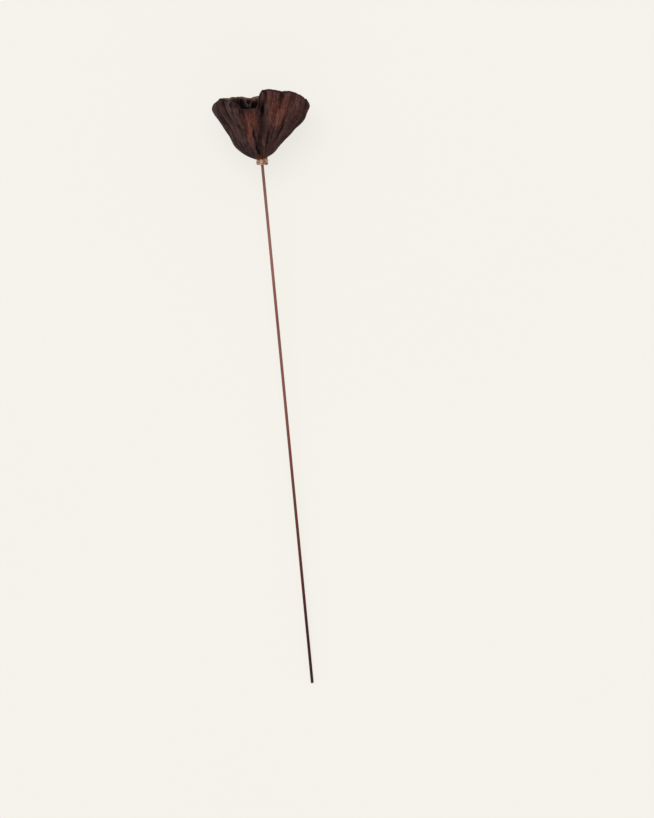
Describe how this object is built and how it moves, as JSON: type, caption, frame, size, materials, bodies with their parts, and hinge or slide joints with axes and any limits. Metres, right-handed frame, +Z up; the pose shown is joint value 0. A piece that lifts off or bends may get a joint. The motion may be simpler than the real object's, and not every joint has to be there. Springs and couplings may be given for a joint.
{
  "type": "dried lotus seed pod",
  "caption": "Dried lotus seed pod with a pleated wall, wavy rim and lipped seed pits, lying on its side on a long thin stick.",
  "frame": {"origin": "centre of the base of the bounding box, on the surface that the part lies on", "axes": "+Z up, +Y along the stick from its cut end to the pod, +X to the right of the pod seen from above with its mouth away from the viewer"},
  "size_m": [0.0924, 0.5632, 0.0864],
  "materials": {
    "pod_skin": "satin",
    "stick": "satin"
  },
  "bodies": {
    "root": {"seed_pod": "pod_skin", "stem": "stick"}
  },
  "joints": []
}
